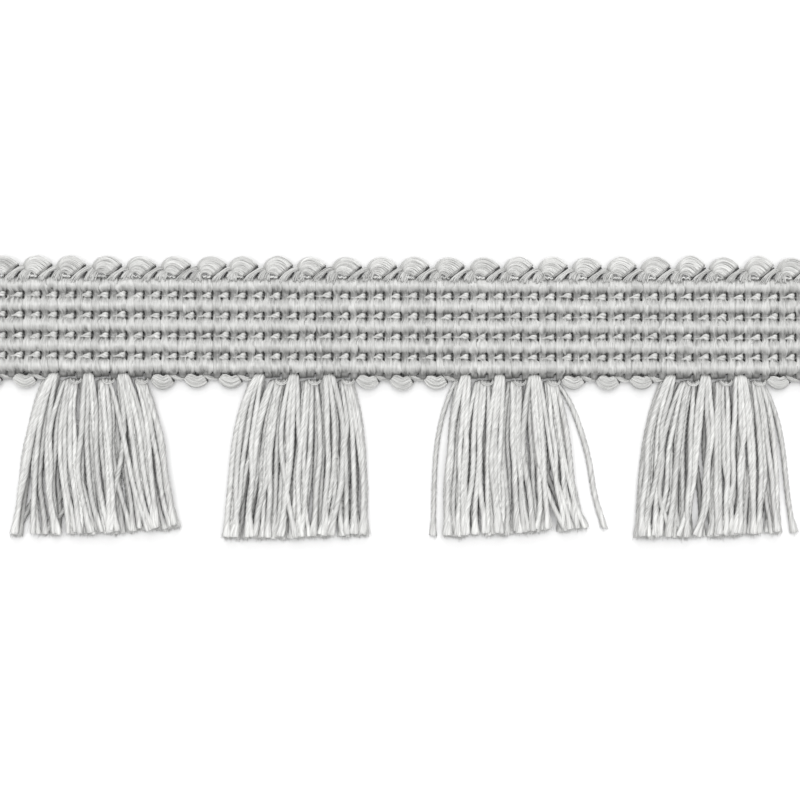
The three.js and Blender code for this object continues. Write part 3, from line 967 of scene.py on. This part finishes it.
def looped_edge(name, node, middles, edge_y, outward, lobe, tuck, seed):
    """outward: 1 for the upper edge, -1 for the lower one."""
    draw = np.random.default_rng(seed)
    yarns = Yarns()
    for number, middle_x in enumerate(middles):
        middle_x = middle_x + ASIDE[outward] * draw.normal()
        if outward < 0 or number < len(middles) - 1:
            add_band(yarns, tuck, middle_x, edge_y, outward, draw, shade=TUCK_SHADE)
            if outward > 0:
                add_band(yarns, TOP_FOOT, middle_x, edge_y, outward, draw, shade=FOOT_SHADE)
                add_eye_shadow(yarns, TOP_EYE, middle_x, edge_y, outward)
                add_eye_shadow(yarns, TOP_GAP, middle_x, edge_y, outward)
        add_band(yarns, lobe, middle_x, edge_y, outward, draw)
        if outward > 0:
            add_stitches(yarns, middle_x, edge_y, draw)
        else:
            add_eye_shadow(yarns, LOW_EYE, middle_x, edge_y, outward)
            add_eye_shadow(yarns, LOW_GAP, middle_x, edge_y, outward)
    if outward > 0:
        before_x = middles[0] - LOOP_PITCH
        add_band(yarns, tuck, before_x, edge_y, outward, draw, shade=TUCK_SHADE)
        add_band(yarns, TOP_FOOT, before_x, edge_y, outward, draw, shade=FOOT_SHADE)
    return yarns.piece(name, floss_finish, node)


top_middles = [TOP_LOOP_X + TOP_SHIFT + LOOP_PITCH * k for k in range(TOP_LOOPS)]
top_piece = looped_edge("edge_loops_top", "loops_top", top_middles, high_edge, 1, TOP_LOBE, TOP_TUCK, 21)
runs = np.split(np.arange(LOW_LOOPS), np.ravel([(loop - 1, loop + 2) for loop in BELL_AT]))[::2]
for number, run in enumerate(runs, 1):
    middles = [bell_centre(loop) for loop in run]
    name, node = f"edge_loops_low_{number}", f"loops_low_{number}"
    looped_edge(name, node, middles, low_edge, -1, LOW_LOBE, LOW_TUCK, 30 + number)

# %% [markdown]
# A bell is a bundle of about seventy cut yarns. They leave the heading in six tufts, every other one in
# front, fan out, then hang straight, with a little wandering of their own. Hair particles could make
# such a bundle, but each bell has its own outline, lean and stray yarns, and these are plain numbers in
# a line's formula. The yarns lie in three layers, so that a bell is thick and has dark depths, partly
# real shadow and partly painted shade.

# %% Sizes of the bells
# lean: how far its middle yarns lean to the right. left, right: for that side, how far it swells from the
# centre, how far out its cut ends lie, and their y. strays: single yarns: side, and the same three.
BELLS = [
    {"lean": 0.24, "left": (10.2, 11.5, -18.95), "right": (9.5, 11.3, -17.65), "strays": []},
    {"lean": -0.1, "left": (10.1, 10.5, -19.15), "right": (8.9, 8.9, -18.6), "strays": []},
    {
        "lean": -0.04, "left": (8.5, 8.6, -18.85), "right": (8.6, 10.6, -17.6),
        "strays": [(-1, 9.9, 10.1, -18.4), (1, 10.8, 13.1, -17.3)],
    },
    {
        "lean": -0.06, "left": (10.3, 10.5, -18.9), "right": (9.0, 9.0, -18.2),
        "strays": [(1, 9.7, 11.0, -17.9)],
    },
]
# One row for each layer of yarns, from the floor up. count: yarns in the layer. belly, tip: the height of
# its middle there. gathered: how closely its roots keep to the tufts.
LAYERS = [
    {"count": 21, "belly": 0.42, "tip": 0.45, "gathered": 0.0},
    {"count": 23, "belly": 1.02, "tip": 1.02, "gathered": 0.8},
    {"count": 26, "belly": 1.62, "tip": 1.62, "gathered": 1.0},
]
# The tufts at the root. at: across from the bell's centre. top: where the tuft starts. z: its height.
TUFTS = [
    {"at": -5.6, "half": 0.7, "top": 3.0, "z": 1.65},
    {"at": -3.4, "half": 1.0, "top": 2.2, "z": 1.3},
    {"at": -1.1, "half": 0.7, "top": 3.0, "z": 1.65},
    {"at": 1.2, "half": 1.0, "top": 2.2, "z": 1.3},
    {"at": 3.6, "half": 0.7, "top": 3.0, "z": 1.65},
    {"at": 5.75, "half": 0.85, "top": 2.2, "z": 1.35},
]
ROOT_HALF = 6.7
print(f"{sum(layer['count'] for layer in LAYERS)} yarns and {len(TUFTS)} tufts in a bell, before strays")

# %% [markdown]
# One yarn's line starts in its tuft, swings out to the belly and ends at its place among the tips. Slow
# waves are added to it, one that its whole tuft shares and some of its own, and they grow with the
# distance from the root, where a yarn is held fast.

# %% The line of one yarn
SPREAD_POWER = 3.4  # how soon it swings out to the belly
FLARE_POWER = 3  # how late it turns to its tip
YARN_STEPS = 72
WANDER = {"slow": 0.32, "quick": 0.11, "height": 0.16, "level": 0.1}
HELD_AT_SIDES = 0.6  # how much less the outermost yarns wander
LAYER_STEP = 0.45  # in height, between the layers at the root
ROOT_DIP = {"deep": 0.7, "over": 0.012}  # the line dives into the heading where it starts
LINE_Z = (0.42, 1.95)
LAST_STEP = 0.999  # a very short last step keeps the smooth shading off the cut


def yarn_line(tuft, place, across, belly, tip, level, sway, draw):
    """The middle line of one yarn. place: -1 to 1 across its tuft. across: -1 to 1 over the bell.
    sway: how far its tuft wanders sideways, in how many half waves, and where they start."""
    layer = LAYERS[level]
    s = np.append(np.linspace(0, LAST_STEP, YARN_STEPS - 1), 1.0)
    fan = 1 - (1 - s) ** SPREAD_POWER
    gathered = layer["gathered"]
    root_x = gathered * (tuft["at"] + tuft["half"] * place) + (1 - gathered) * ROOT_HALF * across
    x = root_x + (belly - root_x) * fan + (tip[0] - belly) * s**FLARE_POWER
    free = (1 - HELD_AT_SIDES * across**4) * s**0.6
    x = x + sway[0] * np.sin(np.pi * sway[1] * s + sway[2]) * free
    slow = WANDER["slow"] * draw.normal()
    x = x + slow * np.sin(np.pi * draw.uniform(0.7, 2) * s + draw.uniform(0, 6)) * free
    x = x + WANDER["quick"] * draw.normal() * np.sin(np.pi * 4.5 * s + draw.uniform(0, 6)) * s**0.5
    y = tuft["top"] - 0.25 * place**2 + (tip[1] - tuft["top"]) * s
    root_z = tuft["z"] + LAYER_STEP * (level - 2)
    z = root_z + (layer["belly"] - root_z) * np.minimum(1, 3 * s)
    z = z + (layer["tip"] - layer["belly"]) * s**2 - ROOT_DIP["deep"] * np.exp(-s / ROOT_DIP["over"])
    wave = WANDER["height"] * draw.normal()
    z = z + wave * np.sin(np.pi * 1.3 * s + draw.uniform(0, 6)) * np.sqrt(s)
    z = z + WANDER["level"] * draw.normal() * np.minimum(1, 4 * s)
    return np.stack([x, y, np.clip(z, *LINE_Z)], axis=-1)


trial_yarn = yarn_line(TUFTS[0], 0, -0.9, -9, (-10, -19), 2, (0, 1, 0), np.random.default_rng(0))
print(f"a yarn at the side is {along_mm(trial_yarn[None])[0, -1]:.1f} mm long")

# %% [markdown]
# The yarns of a layer lie evenly over the bell, each in the tuft that is nearest. Their ends are clipped
# along one slanted line that sags a little in the middle. One yarn in six goes astray and crosses its
# neighbours. Strays that stand apart from the bell are given one by one.

# %% All the lines of a bell
YARN_HALF = 0.45  # keeps the outermost yarns inside the bell's outline
TIP_UNEVEN, TIP_SAG, TIP_STEP = 0.25, 0.25, 0.12  # the upper layers are clipped slightly shorter
ASTRAY = {"little": 0.07, "more": 0.2, "share": 0.16}
STRAY_SWAY = (0.2, 1.5, 0.0)


def bell_lines(bell, draw):
    """The yarns' lines, and how far each is buried: 0 for one that lies in the open, 1 inside the bell."""
    lines, buried = [], []
    for level, layer in enumerate(LAYERS):
        sways = [(0.3 * draw.normal(), draw.uniform(0.7, 1.7), draw.uniform(0, 6)) for _ in TUFTS]
        for i in range(layer["count"]):
            share = (i + 0.5) / layer["count"]
            in_tufts = share * len(TUFTS)
            tuft = TUFTS[int(in_tufts)]
            place = 1.7 * (in_tufts % 1) - 0.85
            evenly = 2 * i / (layer["count"] - 1) - 1
            across = np.clip(evenly + 0.035 * draw.normal(), -1, 1)
            belly, reach, _ = bell["left"] if across < 0 else bell["right"]
            tip_y = bell["left"][2] * (1 - share) + bell["right"][2] * share
            tip_y += TIP_UNEVEN * draw.random() - TIP_SAG * (1 - across**2) + TIP_STEP * level
            astray = ASTRAY["little"] + ASTRAY["more"] * (draw.random() < ASTRAY["share"])
            lean = bell["lean"] * (1 - across**2)
            tip_x = np.clip(across + lean + astray * draw.normal(), -1, 1) * (reach - YARN_HALF)
            belly_x = (across + 0.4 * lean) * (belly - YARN_HALF)
            sway = sways[int(in_tufts)]
            lines.append(yarn_line(tuft, place, across, belly_x, (tip_x, tip_y), level, sway, draw))
            buried.append(np.clip((1 - abs(across)) / 0.12, 0, 1))
    for side, belly, reach, tip_y in bell["strays"]:
        tuft = TUFTS[0] if side < 0 else TUFTS[-1]
        tip = (side * reach, tip_y)
        lines.append(yarn_line(tuft, side, side, side * belly, tip, 0, STRAY_SWAY, draw))
        buried.append(0.0)
    return np.array(lines), np.array(buried)


for number, bell in enumerate(BELLS, 1):
    print(f"bell {number}: {len(bell_lines(bell, np.random.default_rng(0))[0])} yarns")

# %% [markdown]
# The yarn is two plies twisted together. Two swept plies for each would double the work, so one slightly
# flat section with five shallow ridges turns as it goes, and the ridges lie at a slant like the strokes
# of a twist. Towards the cut the yarn unwinds, swells and turns paler. Inside the bell and on the
# underside of each yarn it gets painted shade, least near the root, where the yarns lie close and hide
# their own depths, and none at the cut.

# %% Twisted yarn
TWIST = 4.2  # one turn of the yarn, in mm
YARN = {"across": 0.4, "depth": 0.37, "sides": 10, "groove": 0.22, "root": 0.6, "uneven": 0.05}
FULL_AT = 5  # mm from the root, where the yarn has its full width
TIP_LENGTH = 3.3  # how far from the cut the yarn starts to unwind
TIP_OPEN = {"unwound": 0.9, "across": 0.7, "depth": 0.1}
CUT_ROUND = {"length": 0.35, "share": 0.2}
BURIED_SHADE = {"weight": 0.9, "from": 1.75, "over": 1.3}
UNDER_SHADE = {"weight": 0.35, "from": 0.3, "over": 0.6}
ROOT_SHADE = {"share": 0.4, "length": 9}  # at the root the shade starts at this share


def add_twisted(yarns, lines, buried, draw):
    along = along_mm(lines)
    left = along[:, -1:] - along
    opening = np.clip(1 - left / TIP_LENGTH, 0, 1)
    turns = np.gradient(along, axis=1) / TWIST * (1 - TIP_OPEN["unwound"] * opening)
    turn = -2 * np.pi * (np.cumsum(turns, axis=1) + draw.random((len(lines), 1)))
    slim = YARN["root"] + (1 - YARN["root"]) * np.clip(along / FULL_AT, 0, 1) ** 0.7
    slim = slim * (1 + YARN["uneven"] * draw.normal(size=(len(lines), 1)))
    cut_end = 1 - CUT_ROUND["share"] * np.clip(1 - left / CUT_ROUND["length"], 0, 1) ** 2
    across = YARN["across"] * slim * (1 + TIP_OPEN["across"] * opening**2) * cut_end
    depth = YARN["depth"] * slim * (1 + TIP_OPEN["depth"] * opening) * cut_end
    strand = draw.random(len(lines))
    rings = sweep(lines, across, depth, YARN["sides"], turn)
    middle = lines[:, :, None]
    rings[:, :, ::2] = middle + (1 - YARN["groove"]) * (rings[:, :, ::2] - middle)
    rings[..., 2] = np.maximum(rings[..., 2], 0.01)
    # Painted shade: deep darkens buried yarns low in the bell and the underside of every yarn
    inside = np.clip((BURIED_SHADE["from"] - rings[..., 2]) / BURIED_SHADE["over"], 0, 1)
    inside = buried[:, None, None] * inside
    under = np.clip((middle[..., 2] + UNDER_SHADE["from"] - rings[..., 2]) / UNDER_SHADE["over"], 0, 1)
    deep = np.clip(BURIED_SHADE["weight"] * inside + UNDER_SHADE["weight"] * under, 0, 1)
    deep = deep * (1 - opening[..., None] ** 4)
    from_root = np.clip(along / ROOT_SHADE["length"], 0, 1)
    deep = deep * (ROOT_SHADE["share"] + (1 - ROOT_SHADE["share"]) * from_root)[..., None]
    yarns.add(rings, fibre_round(lines, YARN["sides"], strand, 0.8), strand, opening, deep)


print(f"a bell yarn is {2 * YARN['across']:.1f} mm wide and turns once in {TWIST} mm")

# %% [markdown]
# Scissors leave a small brush of loose fibres at each cut end. Short wisps of three sides each start
# inside the last of the yarn and point a little beyond it, which softens the cut.

# %% Fluff at the cut ends
FLUFF = {"each": 20, "steps": 3, "radius": 0.035, "sides": 3, "least_z": 0.06}
FLUFF_AIM = {"aside": 0.32, "beyond": 0.22, "up": 0.25}
FLUFF_ROOM = 10  # points at the end of a yarn that a wisp starts among


def add_fluff(yarns, lines, draw):
    steps = FLUFF["steps"]
    ends = []
    for line in lines:
        base = line[-FLUFF_ROOM:][np.linspace(0, FLUFF_ROOM - 1, steps).astype(int)]
        for _ in range(FLUFF["each"]):
            grow = np.linspace(0.3, 1, steps)[:, None]
            aside = draw.normal() * FLUFF_AIM["aside"]
            beyond = -abs(draw.normal()) * FLUFF_AIM["beyond"]
            up = draw.normal() * FLUFF_AIM["up"]
            fluff = base + np.array([aside, beyond, up]) * grow
            fluff[:, 2] = np.maximum(fluff[:, 2], FLUFF["least_z"])
            ends.append(fluff)
    ends = np.array(ends)
    strand = draw.random(len(ends))
    taper = np.broadcast_to(FLUFF["radius"] * np.linspace(1.2, 0.5, steps), ends.shape[:2])
    rings = sweep(ends, taper, taper, FLUFF["sides"])
    yarns.add(rings, fibre_round(ends, FLUFF["sides"], strand, 0.3), strand, 1.0)


print(f"{FLUFF['each']} wisps on each cut end")

# %% [markdown]
# The three back tufts come out under the heading's edge, and a pair of fine threads loops round the front
# of each. They are swept like every other yarn.

# %% Threads that hold the back tufts
HOLDERS = [-2.73, 1.69, 6.2]  # across from the bell's centre
HOLDER = {
    "threads": 2, "half": 0.85, "top": 2.28, "deep": 0.72, "z": 1.9, "radius": 0.07, "points": 13,
    "sides": 5, "apart": 0.17, "shorter": 0.12, "dive": 0.45, "wobble": 0.03, "tip": 0.2,
}


def add_holders(yarns, centre_x, draw):
    swing = np.linspace(-1, 1, HOLDER["points"])
    lines = []
    for at in HOLDERS:
        for thread in range(HOLDER["threads"]):
            x = centre_x + at + HOLDER["half"] * swing * (1 - HOLDER["shorter"] * thread)
            y = HOLDER["top"] - HOLDER["deep"] * np.sqrt(1 - 0.98 * swing**2) + HOLDER["apart"] * thread
            z = HOLDER["z"] - HOLDER["dive"] * swing**4 + HOLDER["wobble"] * draw.normal()
            lines.append(np.stack([x, y, z], axis=-1))
    lines = np.array(lines)
    strand = draw.random(len(lines))
    rings = sweep(lines, HOLDER["radius"], HOLDER["radius"], HOLDER["sides"])
    yarns.add(rings, fibre_round(lines, HOLDER["sides"], strand, 0.5), strand, HOLDER["tip"])


print(f"{HOLDER['threads'] * len(HOLDERS)} threads hold each bell")

# %% [markdown]
# Each bell is one piece with its yarns, their fluff and its threads, and stands for one bell of the plain
# model. Its own seed gives it yarns of its own.

# %% The bells
BELL_SEED = 100
for number, (loop, bell) in enumerate(zip(BELL_AT, BELLS), 1):
    draw = np.random.default_rng(BELL_SEED + number)
    lines, buried = bell_lines(bell, draw)
    lines[..., 0] += bell_centre(loop)
    yarns = Yarns()
    add_twisted(yarns, lines, buried, draw)
    add_fluff(yarns, lines, draw)
    add_holders(yarns, bell_centre(loop), draw)
    yarns.piece(f"bell_yarns_{number}", bell_finish, f"bell_{number}")
